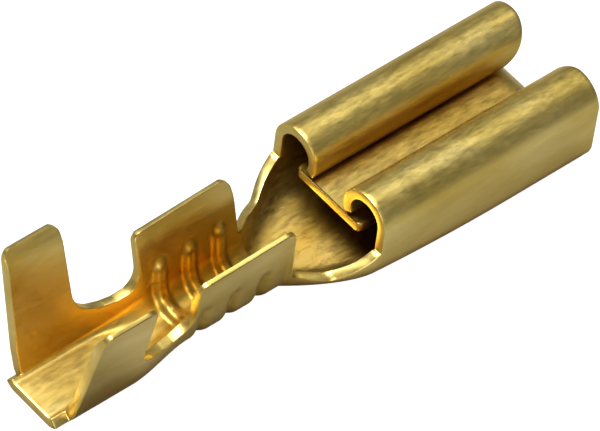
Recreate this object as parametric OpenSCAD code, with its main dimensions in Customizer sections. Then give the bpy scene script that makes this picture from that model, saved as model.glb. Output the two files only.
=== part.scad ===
// Female spade terminal, folded from one piece of brass sheet.
// The wire end is at -X, the mating end at +X, and the open side of the barrels is up.
// The underside of the floor lies on Z = 0, and the part is centred on X and Y.

/* [Sheet] */
// Thickness of the brass sheet
sheet_t = 0.25; // [0.2:0.01:0.3]
// Thickness left at the coined tips of the crimp wings
tip_t = 0.1; // [0.06:0.01:0.16]
// Height of the coined bevel at the tips of the crimp wings
coin_h = 0.45; // [0.2:0.05:0.6]

/* [Receptacle] */
// Length of the rolled receptacle
rec_len = 6.28; // [5.4:0.02:8]
// Width over the two rolled edges
rec_w = 3.7; // [3.4:0.05:4.2]
// Height over the two rolled edges
rec_h = 2.45; // [2.3:0.05:2.8]
// Outer radius of the corners between floor and walls, at the mating end
corner_r = 0.61; // [0.4:0.01:0.7]
// The same radius where the neck runs into the receptacle
ring_corner_r = 0.95; // [0.7:0.01:1.05]
// Outer radius of the rolled edges
roll_r = 0.69; // [0.6:0.01:0.74]
// Angle that each rolled edge turns through, from the wall to its lip
roll_turn = 208; // [190:1:215]
// How far the front corner of each lip is set back by its rounding
lip_round = 0.67; // [0.2:0.01:0.9]

/* [Spring tongue] */
// Width of the tongue that is folded back over the floor
tongue_w = 2.12; // [1.6:0.02:2.2]
// Height of the tongue's upper face over the underside of the floor
tongue_top = 1.38; // [1.1:0.02:1.4]
// How far the fold of the tongue stays behind the front edge
tongue_setback = 0.3; // [0.1:0.05:0.8]
// Width of the slit on each side of the fold
tongue_slit = 0.1; // [0.05:0.01:0.14]
// Radius of the corners at the tongue's free end
tongue_round = 0.16; // [0.05:0.01:0.3]

/* [Neck] */
// Length of the neck that widens from the wire barrel to the receptacle
neck_len = 1.86; // [1.4:0.02:2.4]
// Height of the neck's wall where it meets the receptacle
neck_h = 1.17; // [0.9:0.01:1.4]
// Height of the neck's edge at its lowest place
neck_low = 0.6; // [0.45:0.01:0.8]

/* [Wire barrel] */
// Length of the wire barrel
wire_len = 3; // [2.8:0.05:4]
// Outer radius of its round bottom
wire_r = 0.8; // [0.7:0.01:0.95]
// Half width of the flat strip along its bottom
wire_flat = 0.05; // [0.02:0.01:0.3]
// Lean of its wings away from upright, in degrees
wire_lean = 7.6; // [0:0.1:14]
// Height of its wings over the underside of the floor
wire_h = 2.48; // [2:0.02:3]
// Number of ribs pressed up across it
rib_count = 3; // [1:1:3]
// Distance from one rib to the next
rib_pitch = 0.83; // [0.7:0.01:0.9]
// Height that the ribs are pressed up
rib_h = 0.12; // [0.04:0.01:0.14]
// Height of the ribs' upper ends over the underside of the floor
rib_top = 1.5; // [1.1:0.05:1.7]

// Distance that the wings on the left sit back by, and those on the right forward
wing_stagger = 0.12; // [0:0.01:0.15]

/* [Insulation barrel] */
// Length of the insulation barrel along its foot
ins_len = 1.74; // [1.5:0.02:2.4]
// Outer radius of the bends at its foot
ins_r = 0.4; // [0.34:0.01:0.6]
// Half width of its flat floor
ins_flat = 0.55; // [0.4:0.01:0.8]
// Lean of its wings away from upright, in degrees
ins_lean = 12.5; // [0:0.1:20]
// Height of its wings over the underside of the floor
ins_h = 3.52; // [2.8:0.02:4.2]
// Distance that the front edge of each wing leans back by, up to its tip
ins_taper = 0.3; // [0:0.02:0.4]

/* [Strip between the barrels] */
// Length of the strip from one barrel to the other
gap_len = 1.27; // [1:0.01:1.8]
// Depth that the edges of the strip are cut down to, over the underside of the floor
gap_h = 0.87; // [0.65:0.01:1]
// Length of the cut-off tab behind the insulation barrel
tab_len = 0.33; // [0.2:0.01:0.5]
// Width of the cut-off tab
tab_w = 1.7; // [1.2:0.05:1.8]

/* [Hidden] */
BRASS = [0.79, 0.66, 0.34];
$fn = 64;

terminal_len = tab_len + ins_len + gap_len + wire_len + neck_len + rec_len;
x_end = -terminal_len / 2;
x_ins = x_end + tab_len;
x_gap = x_ins + ins_len;
x_wire = x_gap + gap_len;
x_neck = x_wire + wire_len;
x_ring = x_neck + neck_len;
x_front = x_ring + rec_len;
half_t = sheet_t / 2;

// A section is [half width of the flat, bend radius on the middle line, lean of the wings].
ins_section = [ins_flat, ins_r - half_t, ins_lean];
wire_section = [wire_flat, wire_r - half_t, wire_lean];
function rec_section(r) = [rec_w / 2 - r, r - half_t, 0];

function ease(u) = let (v = min(1, max(0, u))) v * v * (3 - 2 * v);
function arc(c, r, a0, a1, n) = [for (i = [0:n]) let (a = a0 + (a1 - a0) * i / n) c + r * [cos(a), sin(a)]];

// Section of the sheet at a place along the terminal
function section(x) =
    x < x_wire + 0.5
    ? ins_section + (wire_section - ins_section) * ease((x - x_gap) / (gap_len + 0.4))
    : x < x_ring ? wire_section
        + (rec_section(ring_corner_r) - wire_section) * (1 - pow(min(1, (x_ring - x) / neck_len), 1.5))
    : rec_section(corner_r + (ring_corner_r - corner_r) * pow(max(0, 1 - (x - x_ring) / 4), 2));

// Where the bend of a section ends along the developed sheet, and how high that is
function bend_end(c) = c[0] + c[1] * (90 - c[2]) * PI / 180;
function bend_top(c) = half_t + c[1] * (1 - cos(90 - c[2]));
function reach(c, z) = bend_end(c) + (z - bend_top(c)) / cos(c[2]);

// Point of the middle line at the developed distance s, and the angle that the sheet runs at there
function middle(s, c) =
    let (a = max(0, min((s - c[0]) / c[1] * 180 / PI, 90 - c[2])), past = max(0, s - bend_end(c)))
    [min(s, c[0]) + c[1] * sin(a) + past * cos(a), half_t + c[1] * (1 - cos(a)) + past * sin(a), a];

// Heights of the wings, before the outline is cut
function wing_h(x) =
    x > x_neck + 0.05 ? neck_h + 0.1 + (wire_h - neck_h) * max(0, 1 - (x - x_neck) / 0.4)
    : wire_h + 0.15 + (ins_h - wire_h) * ease((x_wire - x) / gap_len);

// Ribs are pressed up from below: a narrow groove outside and a rounder ridge inside
rib_half = 0.24;
rib_x = [for (i = [0:rib_count - 1]) x_neck - 0.67 - i * rib_pitch];
rib_s = reach(wire_section, rib_top - rib_half);
function rib_off(x, s) = min([for (r = rib_x) norm([x - r, max(0, s - rib_s)])]) / rib_half;
function groove(x, s) = rib_h * pow(max(0, 1 - rib_off(x, s)), 1.6);
function ridge(x, s) = rib_h * (1 + cos(180 * min(1, max(0, rib_off(x, s) * 1.3 - 0.3)))) / 2;

// Coined bevel inside the tips of the wings
function coined(x, s, c) =
    x > x_neck + 0.05 ? 0
    : (sheet_t - tip_t) * min(1, max(0, 1 - (reach(c, wing_h(x) - 0.15) - s) / coin_h));

// Places along the terminal, and places across the sheet from its centre line outward
function sorted(v) =
    len(v) < 2 ? v
    : let (p = v[floor(len(v) / 2)])
        concat(sorted([for (a = v) if (a < p) a]), [p], sorted([for (a = v) if (a > p) a]));
stations = [for (d = sorted(concat(
    [0, x_end - x_ring, x_neck - x_ring, x_neck + 0.05 - x_ring],
    [for (i = [1:11]) round(neck_len * i * -8.33) / 100],
    [for (i = [0:9]) round(100 * (x_gap - x_ring + (gap_len + 0.4) * i / 9)) / 100],
    [for (r = rib_x, o = [-1, -0.7, -0.4, -0.15, 0, 0.15, 0.4, 0.7, 1])
        round(100 * (r - x_ring + o * rib_half)) / 100]
))) x_ring + d];
function columns(x, c) =
    let (
        e = bend_end(c),
        tip = reach(c, wing_h(x)),
        low = min(reach(c, rib_top - rib_half), e + 0.4 * (tip - e)),
        d = min(0.1, 0.07 * (tip - e)),
        coin = max(low + 3.5 * d, tip - coin_h - 0.15 / cos(c[2]))
    )
    concat(
        [for (i = [0:8]) c[0] + (e - c[0]) * i / 8],
        [(e + low) / 2, low, low + d, low + 2 * d, low + 2.8 * d, coin, tip]
    );

// Rows of points on the two faces of the sheet, skinned into one closed solid
module skin(outer, inner) {
    n = len(outer[0]);
    k = 2 * n;
    last = (len(outer) - 1) * k;
    cap = [for (i = [0:n - 2]) [i, i + 1, k - 2 - i, k - 1 - i]];
    polyhedron(
        points = [for (r = [0:len(outer) - 1])
            each concat(outer[r], [for (i = [n - 1:-1:0]) inner[r][i]])],
        faces = concat(
            [for (f = cap, t = [[0, 1, 2], [0, 2, 3]]) [for (i = t) f[i]]],
            [for (f = cap, t = [[2, 1, 0], [3, 2, 0]]) [for (i = t) last + f[i]]],
            [for (r = [0:len(outer) - 2], i = [0:k - 1])
                let (a = r * k + i, b = r * k + (i + 1) % k)
                each [[a, a + k, b], [b, a + k, b + k]]]
        ),
        convexity = 6
    );
}
function both(half) = concat([for (i = [len(half) - 1:-1:0]) [half[i][0], -half[i][1], half[i][2]]], half);

// The formed sheet from the cut-off tab to the ring, before its outline is cut
function side(x, s, c, inner) =
    let (m = middle(s, c), h = inner ? half_t - coined(x, s, c) + ridge(x, s) : groove(x, s) - half_t)
    [x, m[0] - h * sin(m[2]), m[1] + h * cos(m[2])];
function row(x, inner) = let (c = section(x)) both([for (s = columns(x, c)) side(x, s, c, inner)]);
module formed_sheet() {
    skin([for (x = stations) row(x, false)], [for (x = stations) row(x, true)]);
}

// A polygon whose corners are rounded: each corner is [x, z, radius]
function rounded(v) =
    [for (i = [0:len(v) - 1])
        let (
            p = [v[i][0], v[i][1]],
            q = v[(i + len(v) - 1) % len(v)],
            w = v[(i + 1) % len(v)],
            to_q = ([q[0], q[1]] - p) / norm([q[0], q[1]] - p),
            to_w = ([w[0], w[1]] - p) / norm([w[0], w[1]] - p),
            half = acos(max(-1, min(1, to_q * to_w))) / 2,
            turn = sign(to_q[0] * to_w[1] - to_q[1] * to_w[0]),
            mid = p + (to_q + to_w) / norm(to_q + to_w) * v[i][2] / sin(half),
            a0 = atan2(to_q[1], to_q[0]) - 90 * turn
        )
        each v[i][2] == 0 ? [p] : arc(mid, v[i][2], a0, a0 - turn * (180 - 2 * half), 6)];

// Outline of the formed sheet seen from the side, for wings that sit forward by d
module side_outline(d) {
    polygon(rounded([
        [x_end - 0.5, -0.5, 0],
        [x_ring + 0.5, -0.5, 0],
        [x_ring + 0.5, neck_h, 0],
        [x_ring - 0.1, neck_h, 0.2],
        [x_ring - 0.95, neck_low, 0.25],
        [x_ring - 1.38, neck_low + 0.13, 0.3],
        [x_neck + 0.02 + d / 2, 0.87, 0.12],
        [x_neck - 0.15 + d, wire_h + 0.05, 0.27],
        [x_wire + 0.18 + d, wire_h - 0.05, 0.22],
        [x_wire + 0.3 + d, gap_h - 0.02, 0.65],
        [x_gap - 0.1 + d, gap_h + 0.04, 0.75],
        [x_gap - ins_taper + 0.03 + d, ins_h, 0.24],
        [x_ins + d, ins_h, 0.2],
        [x_ins + d / 2, 0.3, 0],
        [x_end - 0.5, 0.3, 0]
    ]));
}

// The cut-off tab is narrower than the foot of the barrel
module tab_outline() {
    left = x_ins - wing_stagger / 2;
    right = x_ins + wing_stagger / 2;
    polygon([
        [x_end - 0.5, -tab_w / 2],
        [right - 0.1, -tab_w / 2],
        [right + 0.1, -tab_w / 2 - 0.3],
        [right + 0.1, -3],
        [x_ring + 0.5, -3],
        [x_ring + 0.5, 3],
        [left + 0.1, 3],
        [left + 0.1, tab_w / 2 + 0.3],
        [left - 0.1, tab_w / 2],
        [x_end - 0.5, tab_w / 2]
    ]);
}

module barrels() {
    intersection() {
        formed_sheet();
        for (m = [-1, 1])
            translate([0, m < 0 ? 0.1 : 3, 0])
                rotate([90, 0, 0])
                    linear_extrude(height = 3.1)
                        side_outline(-m * wing_stagger);
        union() {
            translate([x_end - 0.5, -3, 0.35])
                cube([terminal_len, 6, 6]);
            translate([0, 0, -1])
                linear_extrude(height = 1.4)
                    tab_outline();
        }
    }
}

// The receptacle: floor, walls and rolled edges, with the front corners of the lips set back
roll_y = rec_w / 2 - roll_r;
roll_z = rec_h - roll_r;
roll_steps = 18;
function lip_back(i) = lip_round * pow(max(0, 1 - (1 - i / roll_steps) * roll_turn / 117), 1.8);
function rec_row(x, inner) =
    let (c = section(x), r = inner ? roll_r - sheet_t : roll_r, e = bend_end(c))
    both(concat(
        [for (i = [0:8]) side(x, c[0] + (e - c[0]) * i / 8, c, inner)],
        [for (i = [0:roll_steps])
            [x - lip_back(i) * (x - x_ring) / rec_len,
             roll_y + r * cos(roll_turn * i / roll_steps),
             roll_z + r * sin(roll_turn * i / roll_steps)]]
    ));
rec_x = [for (i = [0:8]) x_ring + rec_len * pow(i / 8, 1.4)];
module receptacle() {
    difference() {
        skin([for (x = rec_x) rec_row(x, false)], [for (x = rec_x) rec_row(x, true)]);
        translate([slit_x, -tongue_w / 2 - tongue_slit, -1])
            cube([rec_len, tongue_w + 2 * tongue_slit, 1 + 2 * sheet_t]);
    }
}

// The tongue: a strip of the floor folded back over itself, with a rounded free end
fold_r = tongue_top / 2;
fold_x = x_front - tongue_setback - fold_r;
slit_x = fold_x - 0.25;
function end_half(d) = tongue_w / 2 - tongue_round + sqrt(pow(tongue_round, 2) - pow(tongue_round - d, 2));
// Each place along the strip is [x, z, angle of its outer face, half width]
strip = concat(
    [[slit_x, half_t, -90, tongue_w / 2]],
    [for (a = [-90:15:90])
        [fold_x + (fold_r - half_t) * cos(a), fold_r + (fold_r - half_t) * sin(a), a, tongue_w / 2]],
    [for (u = [1, 0.6, 0.3, 0.1, 0])
        [x_ring + tongue_round * u, tongue_top - half_t, 90, end_half(tongue_round * u)]]
);
function strip_row(p, h) =
    [for (m = [-1, 1]) [p[0] + h * cos(p[2]), m * p[3], p[1] + h * sin(p[2])]];
module tongue() {
    skin([for (p = strip) strip_row(p, half_t)], [for (p = strip) strip_row(p, -half_t)]);
}

module terminal() {
    color(BRASS)
        resize([terminal_len, 0, 0]) {
            barrels();
            receptacle();
            tongue();
        }
}

terminal();
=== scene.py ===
from math import acos, asin, cos, pi, radians, sin, sqrt

import bpy
from mathutils import Matrix, Vector


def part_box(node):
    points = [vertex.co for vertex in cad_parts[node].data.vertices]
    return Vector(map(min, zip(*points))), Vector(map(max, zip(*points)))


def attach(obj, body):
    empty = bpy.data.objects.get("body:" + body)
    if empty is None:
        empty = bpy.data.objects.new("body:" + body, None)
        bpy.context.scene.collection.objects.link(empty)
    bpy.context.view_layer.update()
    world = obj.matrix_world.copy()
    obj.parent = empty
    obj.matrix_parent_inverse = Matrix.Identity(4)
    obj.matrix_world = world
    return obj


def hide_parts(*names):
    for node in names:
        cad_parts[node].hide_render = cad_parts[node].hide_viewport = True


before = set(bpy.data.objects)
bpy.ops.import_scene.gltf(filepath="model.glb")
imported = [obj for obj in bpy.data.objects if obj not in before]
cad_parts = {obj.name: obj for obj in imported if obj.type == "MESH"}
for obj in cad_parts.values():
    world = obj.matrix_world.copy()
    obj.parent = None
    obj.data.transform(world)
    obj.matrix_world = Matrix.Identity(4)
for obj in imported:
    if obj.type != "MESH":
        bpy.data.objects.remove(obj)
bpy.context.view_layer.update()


# ---------------------------------------------------------------------------
# Floor strip of the blank. The real terminal is punched flat from brass strip
# a quarter of a millimetre thick, and this is its spine, from the cut-off tab
# to the mating end. The blank is drawn flat, in millimetres, then folded.
# ---------------------------------------------------------------------------
low, high = [[c * 1000 for c in corner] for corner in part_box("terminal")]
sheet = 0.25
half = sheet / 2
x_tab = low[0]
x_ins = x_tab + 0.33
x_gap = x_ins + 1.74
x_wire = x_gap + 1.27
x_neck = x_wire + 3.0
x_ring = x_neck + 1.86
x_mouth = high[0]
gap_h, neck_low, neck_h = 0.87, 0.6, 1.17
tongue_half, slit = 1.06, 0.1
tongue_top = 1.38
fold_r = tongue_top / 2
fold_x = x_mouth - 0.3 - fold_r
slit_x = fold_x - 0.25


def ease(u):
    u = min(1.0, max(0.0, u))
    return u * u * (3 - 2 * u)


def mix(a, b, u):
    return a + (b - a) * u


def steps(a, b, n):
    return [a + (b - a) * i / n for i in range(n + 1)]


def section(x):
    """Half width of the flat floor, radius of its bends, and lean of the walls, at a place along the sheet."""
    foot = (0.55, 0.275, 12.5)
    round_ = (0.05, 0.675, 7.6)
    if x < x_wire + 0.5:
        u = ease((x - x_gap) / 1.67)
        return [mix(a, b, u) for a, b in zip(foot, round_)]
    if x < x_ring:
        u = 1 - min(1.0, (x_ring - x) / 1.86) ** 1.5
        return [mix(a, b, u) for a, b in zip(round_, (0.9, 0.825, 0.0))]
    r = 0.61 + 0.34 * max(0.0, 1 - (x - x_ring) / 4) ** 2
    return [1.85 - r, r - half, 0.0]


def bend_end(c):
    return c[0] + c[1] * radians(90 - c[2])


def across(x, z):
    """How far out along the flat sheet the height z is reached."""
    c = section(x)
    top = half + c[1] * (1 - cos(radians(90 - c[2])))
    if z > top:
        return bend_end(c) + (z - top) / cos(radians(c[2]))
    return c[0] + c[1] * acos(1 - (z - half) / c[1])


def spine_edge_z(x):
    """Height of the spine's side edge once it is folded."""
    if x < x_gap:
        return mix(0.24, gap_h, ease((x - x_ins) / 0.8))
    if x < x_neck + 0.02:
        return gap_h
    if x < x_ring:
        u = x_ring - x
        rise = neck_h - 0.67 * max(0.0, u - 0.06)
        fall = neck_low + 0.3 * max(0.0, u - 0.95)
        d = rise - fall
        return (rise + fall + sqrt(d * d + 0.004)) / 2 - 0.02 * ease(u / 0.3)
    return neck_h


def spine_edge(x):
    return 0.78 if x <= x_ins else across(x, spine_edge_z(x))


spine_columns = steps(0, tongue_half, 12) + [tongue_half + slit]
ring_edge = across(x_ring, neck_h)
spine_columns += [mix(tongue_half + slit, ring_edge, (i + 1) / 22) for i in range(22)]


def spine_y(x, j):
    y = spine_columns[j]
    if x < x_ring:
        return y * spine_edge(x) / ring_edge
    if j > 13:
        return mix(tongue_half + slit, spine_edge(x), (j - 13) / 22)
    return y


def flat_patch(name, nx, ny, place):
    """A grid of nx by ny faces, with each corner moved to its place on the flat blank."""
    bpy.ops.object.select_all(action="DESELECT")
    bpy.ops.mesh.primitive_grid_add(x_subdivisions=nx, y_subdivisions=ny, size=2)
    patch = bpy.context.object
    patch.name = name
    for v in patch.data.vertices:
        i = round((v.co.x + 1) / 2 * nx)
        j = round((v.co.y + 1) / 2 * ny)
        x, y = place(i, j)
        v.co = (x, y, 0)
    return patch


ins_foot = (x_ins, x_gap - 0.1 + 0.7)
wire_foot = (x_wire + 0.3 - 0.6, x_neck + 0.14)
along = steps(x_tab, x_ins, 5)[:-1]
along += steps(ins_foot[0], ins_foot[1], 30)[:-1]
along += steps(ins_foot[1], wire_foot[0], 8)[:-1]
along += steps(wire_foot[0], wire_foot[1], 84)[:-1]
along += steps(wire_foot[1], x_ring, 26)[:-1]
along += steps(x_ring, slit_x, 40)
spine = flat_patch("spine", len(along) - 1, 35, lambda i, j: (along[i], spine_y(along[i], j)))
mouth_along = steps(slit_x, x_mouth, 12)
jaw = flat_patch("jaw", 12, 22, lambda i, j: (mouth_along[i], spine_y(mouth_along[i], j + 13)))


# ---------------------------------------------------------------------------
# Wings of the insulation barrel and of the wire barrel. They stand up from the
# spine, and are later crimped round the cable. Their corners are rounded, and
# they run into the spine in small fillets, as the punch leaves them.
# ---------------------------------------------------------------------------
def punched_edge(z, low_x, high_x, z_low, z_high, fillet, rounding, out):
    """X of a wing's front or rear edge at height z: fillet at its foot, rounding at its tip."""
    x = mix(low_x, high_x, (z - z_low) / (z_high - z_low))
    if z - z_low < fillet:
        x += out * (fillet - sqrt(max(0.0, fillet ** 2 - (fillet - (z - z_low)) ** 2)))
    if z_high - z < rounding:
        x -= out * (rounding - sqrt(max(0.0, rounding ** 2 - (rounding - (z_high - z)) ** 2)))
    return x


def wing(name, foot, n, z_low, z_high, rear, front, tilt):
    heights = [z_low + d for d in
               (0, 0.05, 0.1, 0.16, 0.23, 0.31, 0.4, 0.5, 0.6, 0.72, 0.85, 1.0, 1.2, 1.4, 1.6, 1.8, 2.0, 2.2)]
    tip = max(rear[3], front[3])
    heights = [h for h in heights if h < z_high - tip - 0.05]
    heights += [z_high - tip * u for u in (1, 0.75, 0.53, 0.35, 0.2, 0.1, 0.03, 0)]

    def place(i, k):
        z = heights[k]
        a = punched_edge(z, rear[0], rear[1], z_low, z_high, rear[2], rear[3], -1) if k else foot[0]
        b = punched_edge(z, front[0], front[1], z_low, z_high, front[2], front[3], 1) if k else foot[1]
        x = mix(a, b, i / n)
        base_x = mix(foot[0], foot[1], i / n)
        base = spine_edge_z(base_x) if base_x > x_ins else 0.24
        u = (z - z_low) / (z_high - z_low)
        z = mix(base, z_high + tilt * (i / n - 0.5), u)
        if not k:
            return base_x, spine_edge(base_x)
        return x, across(x, z)

    return flat_patch(name, n, len(heights) - 1, place)


ins_wing = wing("insulation wing", ins_foot, 30, gap_h, 3.52,
                (x_ins, x_ins, 0.0, 0.2), (x_gap - 0.1, x_gap - 0.27, 0.7, 0.26), 0)
wire_wing = wing("wire wing", wire_foot, 84, gap_h, 2.48,
                 (x_wire + 0.3, x_wire + 0.18, 0.6, 0.22), (x_neck + 0.02, x_neck - 0.15, 0.12, 0.27), 0.1)


# ---------------------------------------------------------------------------
# Walls and rolled edges of the receptacle. The sheet goes on up the walls and
# is curled over inwards in two rolls, whose lips press on the male tab. The
# front corner of each lip is rounded back so that the tab finds its way in.
# ---------------------------------------------------------------------------
roll_mid = 0.69 - half
roll_y, roll_z = 1.85 - 0.69, 2.45 - 0.69
roll_turn = radians(208)


def roll_place(i, k):
    x = roll_along[i]
    start = across(x, roll_z)
    if k < 7:
        return x, mix(spine_edge(x), start, k / 7)
    u = (k - 7) / 34
    back = 0.67 * max(0.0, 1 - (1 - u) * roll_turn / radians(117)) ** 1.8
    return x - back * (x - x_ring) / (x_mouth - x_ring), start + roll_mid * roll_turn * u


roll_along = steps(x_ring, slit_x, 40)[:-1] + mouth_along
rolled_wall = flat_patch("rolled wall", len(roll_along) - 1, 41, roll_place)


# ---------------------------------------------------------------------------
# Tongue. A strip of the floor, freed by a slit on each side, is folded back
# over the floor in a hairpin. It is the spring that pushes the male tab up
# against the lips. Its free end is rounded at the corners.
# ---------------------------------------------------------------------------
fold_mid = fold_r - half
fold_start = 0.25
fold_end = fold_start + pi * fold_mid
tongue_len = fold_end + fold_x - x_ring
end_round = 0.16
tongue_along = steps(0, fold_start, 2)[:-1] + steps(fold_start, fold_end, 20)[:-1]
tongue_along += steps(fold_end, tongue_len - end_round, 30)[:-1]
tongue_along += [tongue_len - end_round * u for u in (1, 0.75, 0.5, 0.3, 0.15, 0.05, 0)]


def tongue_place(i, j):
    d = tongue_len - tongue_along[i]
    w = tongue_half
    if d < end_round:
        w += sqrt(end_round ** 2 - (end_round - d) ** 2) - end_round
    return slit_x + tongue_along[i], w * j / 12


tongue = flat_patch("tongue", len(tongue_along) - 1, 12, tongue_place)


# ---------------------------------------------------------------------------
# The whole blank: the patches become one sheet, which is mirrored, given its
# thickness, and given the slightly broken edges that punching leaves.
# ---------------------------------------------------------------------------
bpy.ops.object.select_all(action="DESELECT")
for patch in (jaw, ins_wing, wire_wing, rolled_wall, tongue, spine):
    patch.select_set(True)
bpy.context.view_layer.objects.active = spine
bpy.ops.object.join()
terminal = bpy.context.object
terminal.name = "terminal_sheet"
bpy.ops.object.mode_set(mode="EDIT")
bpy.ops.mesh.select_all(action="SELECT")
bpy.ops.mesh.remove_doubles(threshold=0.0005)
bpy.ops.mesh.normals_make_consistent(inside=False)
bpy.ops.object.mode_set(mode="OBJECT")


def finish_with(obj, name, kind, **settings):
    modifier = obj.modifiers.new(name, kind)
    for key, value in settings.items():
        setattr(modifier, key, value)
    bpy.ops.object.modifier_apply(modifier=name)


finish_with(terminal, "other half", "MIRROR", use_axis=(False, True, False), merge_threshold=0.001)
finish_with(terminal, "thickness", "SOLIDIFY", thickness=sheet, offset=0)
finish_with(terminal, "broken edges", "BEVEL", width=0.03, segments=2, limit_method="ANGLE",
            angle_limit=radians(60), use_clamp_overlap=False)


# ---------------------------------------------------------------------------
# Folding. Every point of the flat blank goes to its place in the formed part:
# floor, bend, wall and roll across the sheet, and the hairpin of the tongue
# along it. The same step presses the ribs up and coins the tips of the wings.
# ---------------------------------------------------------------------------
rib_half = 0.24
rib_foot = across(x_neck - 1, 1.5 - rib_half)
rib_xs = [x_neck - 0.67 - 0.83 * i for i in range(3)]


def rib_off(x, s):
    return min(sqrt((x - r) ** 2 + max(0.0, s - rib_foot) ** 2) for r in rib_xs) / rib_half


def tip_height(x):
    return 3.52 if x < (x_gap + x_wire) / 2 else 2.48


def coined(x, s):
    if x > x_neck + 0.05:
        return 0.0
    return 0.15 * min(1.0, max(0.0, 1 - (across(x, tip_height(x)) - s) / 0.45))


def stagger(x, s):
    """How far the left wings are cut back, and the right ones forward."""
    c = section(x)
    if s < c[0] or x > x_ring - 0.8:
        return 0.0
    z = half + c[1] * (1 - cos(min((s - c[0]) / c[1], radians(90 - c[2])))) + max(0.0, s - bend_end(c))
    return 0.12 * ease((x - x_tab) / 0.33) * ease((s - c[0]) / 0.3) * min(1.0, 0.5 + z / 1.8) * ease((x_ring - 0.8 - x) / 1.2)


def fold(x, y, h):
    side = -1 if y < 0 else 1
    s = abs(y)
    x -= side * stagger(x, s)
    if x > slit_x and s < tongue_half + slit / 2:
        run = x - slit_x
        if run < fold_start:
            return x, y, half + h
        if run < fold_end:
            a = (run - fold_start) / fold_mid
            r = fold_mid - h
            return fold_x + r * sin(a), y, fold_r - r * cos(a)
        return fold_x - (run - fold_end), y, tongue_top - half - h
    c = section(x)
    off = rib_off(x, s)
    if h < 0:
        h *= (half - 0.12 * max(0.0, 1 - off) ** 1.6) / half
    else:
        h *= (half - coined(x, s) + 0.06 * (1 + cos(pi * min(1.0, max(0.0, off * 1.3 - 0.3))))) / half
    if x > x_ring - 0.05 and s > across(max(x, x_ring), roll_z):
        a = (s - across(max(x, x_ring), roll_z)) / roll_mid
        r = roll_mid - h
        return x, side * (roll_y + r * cos(a)), roll_z + r * sin(a)
    a = max(0.0, min((s - c[0]) / c[1], radians(90 - c[2])))
    past = max(0.0, s - bend_end(c))
    out = min(s, c[0]) + c[1] * sin(a) + past * cos(a) - h * sin(a)
    up = half + c[1] * (1 - cos(a)) + past * sin(a) + h * cos(a)
    return x, side * out, up


for v in terminal.data.vertices:
    x, y, z = fold(*v.co)
    v.co = (x / 1000, y / 1000, max(0.0, z) / 1000)
bpy.ops.object.shade_smooth_by_angle(angle=radians(40))
finish_with(terminal, "even shading", "WEIGHTED_NORMAL", keep_sharp=True)


# ---------------------------------------------------------------------------
# Brass. Bare rolled strip: satin, with a faint grain along the rolling
# direction, a fine speckle where the press has touched it, a thin uneven
# tarnish, and painted shade that darkens the colour deeper in the hollows.
# ---------------------------------------------------------------------------
brass = bpy.data.materials.new("bare brass strip")
brass.use_nodes = True
nodes, links = brass.node_tree.nodes, brass.node_tree.links
shader = nodes["Principled BSDF"]
shader.inputs["Metallic"].default_value = 1.0
coords = nodes.new("ShaderNodeTexCoord")


def pattern(kind, scale, stretch, **values):
    """A noise on the piece's own coordinates, stretched along the rolling direction."""
    place = nodes.new("ShaderNodeMapping")
    place.inputs["Scale"].default_value = stretch
    links.new(coords.outputs["Object"], place.inputs["Vector"])
    tex = nodes.new(kind)
    tex.inputs["Scale"].default_value = scale
    for key, value in values.items():
        tex.inputs[key].default_value = value
    links.new(place.outputs["Vector"], tex.inputs["Vector"])
    return tex


def ramp(source, stops):
    node = nodes.new("ShaderNodeValToRGB")
    while len(node.color_ramp.elements) < len(stops):
        node.color_ramp.elements.new(0.5)
    for element, (at, colour) in zip(node.color_ramp.elements, stops):
        element.position = at
        element.color = colour if len(colour) == 4 else (*colour, 1)
    links.new(source, node.inputs["Fac"])
    return node


tarnish = pattern("ShaderNodeTexNoise", 900.0, (0.35, 1, 1), Detail=5.0, Roughness=0.6)
colour = ramp(tarnish.outputs["Fac"], [(0.3, (0.67, 0.48, 0.1)), (0.5, (0.77, 0.58, 0.16)), (0.7, (0.86, 0.69, 0.26))])
# Painted shade: an ambient occlusion node darkens the base colour to a deep amber in hollows and creases.
hollow_occlusion = nodes.new("ShaderNodeAmbientOcclusion")
hollow_occlusion.inputs["Distance"].default_value = 0.0025
painted_hollow_shade = ramp(hollow_occlusion.outputs["AO"], [(0.1, (0.42, 0.25, 0.04)), (0.45, (0.75, 0.62, 0.35)), (0.8, (1.0, 1.0, 1.0))])
colour_with_painted_shade = nodes.new("ShaderNodeMix")
colour_with_painted_shade.data_type = "RGBA"
colour_with_painted_shade.blend_type = "MULTIPLY"
colour_with_painted_shade.inputs["Factor"].default_value = 1.0
links.new(colour.outputs["Color"], colour_with_painted_shade.inputs["A"])
links.new(painted_hollow_shade.outputs["Color"], colour_with_painted_shade.inputs["B"])
links.new(colour_with_painted_shade.outputs["Result"], shader.inputs["Base Color"])
speckle = pattern("ShaderNodeTexNoise", 9000.0, (0.3, 1, 1), Detail=4.0, Roughness=0.7)
rough = ramp(speckle.outputs["Fac"], [(0.3, (0.3, 0.3, 0.3)), (0.7, (0.46, 0.46, 0.46))])
links.new(rough.outputs["Color"], shader.inputs["Roughness"])
grain = pattern("ShaderNodeTexNoise", 6000.0, (0.08, 1, 1), Detail=3.0, Roughness=0.6)
bump = nodes.new("ShaderNodeBump")
bump.inputs["Strength"].default_value = 0.25
bump.inputs["Distance"].default_value = 0.00002
links.new(grain.outputs["Fac"], bump.inputs["Height"])
links.new(bump.outputs["Normal"], shader.inputs["Normal"])
terminal.data.materials.clear()
terminal.data.materials.append(brass)
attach(terminal, "root")
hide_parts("terminal")


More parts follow.
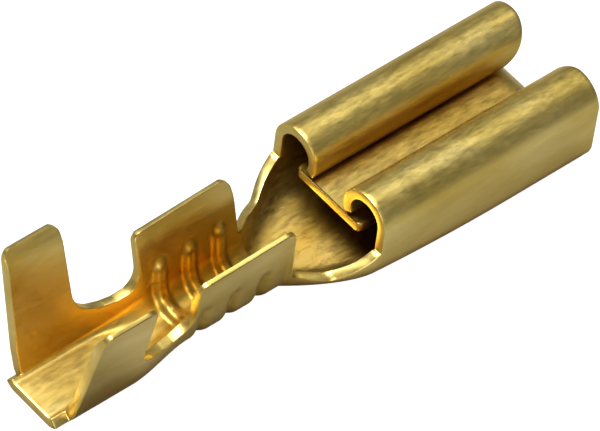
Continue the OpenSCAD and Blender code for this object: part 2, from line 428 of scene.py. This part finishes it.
# ---------------------------------------------------------------------------
# Studio: a pale sheet under the part, soft lamps, and the camera.
# ---------------------------------------------------------------------------
bpy.ops.object.select_all(action="DESELECT")
bpy.ops.mesh.primitive_plane_add(size=1.2, location=(0, 0, 0))
floor = bpy.context.object
floor.name = "studio_floor"
for v in floor.data.vertices:
    v.co.z -= 0.00002
paper = bpy.data.materials.new("white paper")
paper.use_nodes = True
n, l = paper.node_tree.nodes, paper.node_tree.links
n.clear()
out = n.new("ShaderNodeOutputMaterial")
matt = n.new("ShaderNodeBsdfDiffuse")
matt.inputs["Color"].default_value = (0.3, 0.3, 0.29, 1)
glow = n.new("ShaderNodeEmission")
glow.inputs["Color"].default_value = (1, 1, 1, 1)
path = n.new("ShaderNodeLightPath")
seen = n.new("ShaderNodeMath")
seen.operation = "MULTIPLY"
seen.inputs[1].default_value = 0.95
l.new(path.outputs["Is Camera Ray"], seen.inputs[0])
l.new(seen.outputs[0], glow.inputs["Strength"])
both = n.new("ShaderNodeAddShader")
l.new(matt.outputs[0], both.inputs[0])
l.new(glow.outputs[0], both.inputs[1])
l.new(both.outputs[0], out.inputs["Surface"])
floor.data.materials.append(paper)

world = bpy.data.worlds.new("studio")
bpy.context.scene.world = world
world.use_nodes = True
sky = world.node_tree.nodes["Background"]
sky.inputs["Color"].default_value = (1, 1, 1, 1)
sky.inputs["Strength"].default_value = 0.16


def softbox(name, at, aim, size, power, colour=(1, 1, 1)):
    lamp = bpy.data.lights.new(name, "AREA")
    lamp.shape = "RECTANGLE"
    lamp.size, lamp.size_y = size
    lamp.energy = power
    lamp.color = colour
    obj = bpy.data.objects.new(name, lamp)
    bpy.context.collection.objects.link(obj)
    obj.location = at
    obj.rotation_euler = (Vector(aim) - Vector(at)).to_track_quat("-Z", "Y").to_euler()
    return obj


softbox("overhead softbox", (-0.02, 0.05, 0.2), (0, 0, 0), (0.1, 0.16), 0.7)
softbox("side softbox", (-0.1, -0.16, 0.1), (0, 0, 0), (0.1, 0.12), 0.22)

look_at = Vector((0.000181, 0.0, 0.001269))
azimuth, elevation, lean = radians(-46.27), radians(49.03), radians(8.01)
back = Vector((sin(azimuth) * cos(elevation), -cos(azimuth) * cos(elevation), sin(elevation)))
right = Vector((cos(azimuth), sin(azimuth), 0))
up = back.cross(right)
turned_right = right * cos(lean) + up * sin(lean)
turned_up = up * cos(lean) - right * sin(lean)
camera = bpy.data.objects.new("camera", bpy.data.cameras.new("camera"))
bpy.context.collection.objects.link(camera)
camera.data.sensor_width = 36
camera.data.lens = 397.6
camera.data.clip_start = 0.001
at = look_at + back * 0.14406
camera.matrix_world = Matrix((
    (turned_right.x, turned_up.x, back.x, at.x),
    (turned_right.y, turned_up.y, back.y, at.y),
    (turned_right.z, turned_up.z, back.z, at.z),
    (0, 0, 0, 1),
))
bpy.context.scene.camera = camera
bpy.context.scene.view_settings.view_transform = "Standard"
